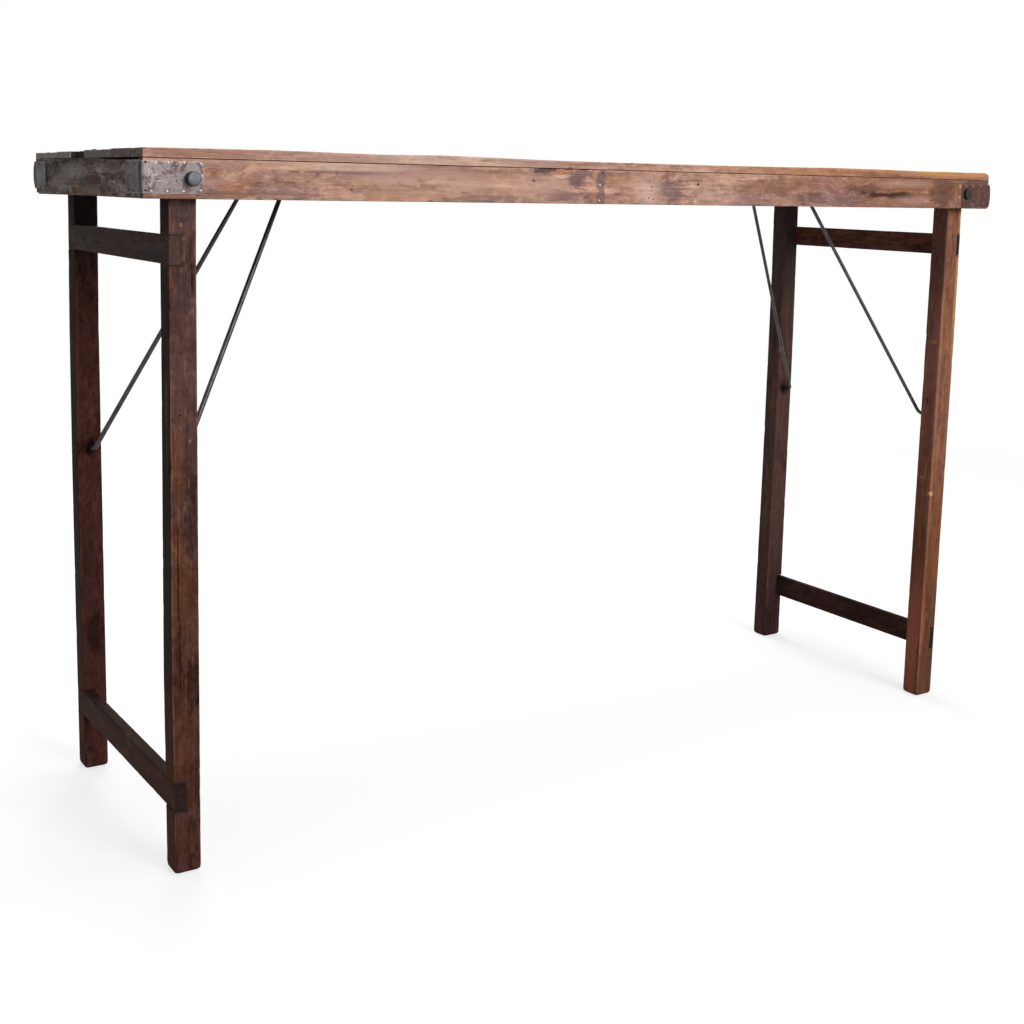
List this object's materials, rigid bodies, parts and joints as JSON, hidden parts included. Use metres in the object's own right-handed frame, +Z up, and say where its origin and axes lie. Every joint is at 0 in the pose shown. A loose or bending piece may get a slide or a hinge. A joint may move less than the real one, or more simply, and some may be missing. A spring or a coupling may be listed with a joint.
{
  "type": "folding bar table",
  "caption": "Long narrow bar-height table with a worn plank top on a railed frame, strapped corners, and leg frames that fold under it, each held by a bent-rod stay.",
  "frame": {"origin": "on the floor under the middle of the top", "axes": "+X along the table's length, -Y towards its front, +Z up"},
  "size_m": [1.7746, 0.5892, 1.1],
  "materials": {
    "board_wood": "worn reclaimed boards, dull brown",
    "rail_wood": "worn brown rails with grey weathering",
    "leg_wood": "dark worn posts with pale edges",
    "stretcher_wood": "nearly black aged wood",
    "strap_steel": "worn grey strip with rust patches",
    "dark_steel": "dark aged rod and bolts"
  },
  "bodies": {
    "top": {"plank_front": "board_wood", "plank_mid_front": "board_wood", "plank_mid_back": "board_wood", "plank_back": "board_wood", "rail_front": "rail_wood", "rail_back": "rail_wood", "rail_left": "rail_wood", "rail_right": "rail_wood", "batten_left": "rail_wood", "batten_middle": "rail_wood", "batten_right": "rail_wood", "strap_left_front": "strap_steel", "strap_left_back": "strap_steel", "strap_right_front": "strap_steel", "strap_right_back": "strap_steel", "bolt_left_front": "dark_steel", "bolt_left_back": "dark_steel", "bolt_right_front": "dark_steel", "bolt_right_back": "dark_steel", "washer_left_front": "dark_steel", "washer_left_back": "dark_steel", "washer_right_front": "dark_steel", "washer_right_back": "dark_steel", "nut_washer_left_front": "dark_steel", "nut_washer_left_back": "dark_steel", "nut_washer_right_front": "dark_steel", "nut_washer_right_back": "dark_steel", "nut_left_front": "dark_steel", "nut_left_back": "dark_steel", "nut_right_front": "dark_steel", "nut_right_back": "dark_steel", "catch_left": "dark_steel", "catch_right": "dark_steel"},
    "left_leg_frame": {"leg_left_front": "leg_wood", "leg_left_back": "leg_wood", "stretcher_left_upper": "stretcher_wood", "stretcher_left_lower": "stretcher_wood"},
    "right_leg_frame": {"leg_right_front": "leg_wood", "leg_right_back": "leg_wood", "stretcher_right_upper": "stretcher_wood", "stretcher_right_lower": "stretcher_wood"},
    "left_stay": {"stay_left": "dark_steel"},
    "right_stay": {"stay_right": "dark_steel"}
  },
  "joints": [
    {"name": "left_fold", "type": "hinge", "parent": "top", "child": "left_leg_frame", "pos_m": [-0.814, 0, 1.0577], "axis": [0, -1, 0], "range_deg": [0, 90]},
    {"name": "right_fold", "type": "hinge", "parent": "top", "child": "right_leg_frame", "pos_m": [0.819, 0, 1.0577], "axis": [0, 1, 0], "range_deg": [0, 85]},
    {"name": "left_stay_swing", "type": "hinge", "parent": "left_leg_frame", "child": "left_stay", "pos_m": [-0.819, 0, 0.588], "axis": [0, 1, 0], "range_deg": [0, 152.5]},
    {"name": "right_stay_swing", "type": "hinge", "parent": "right_leg_frame", "child": "right_stay", "pos_m": [0.819, 0, 0.6], "axis": [0, -1, 0], "range_deg": [0, 150.7]}
  ],
  "couplings": [
    {"joint": "left_stay_swing", "follows": "left_fold", "ratio": 1.6929},
    {"joint": "right_stay_swing", "follows": "right_fold", "ratio": 1.7714}
  ]
}
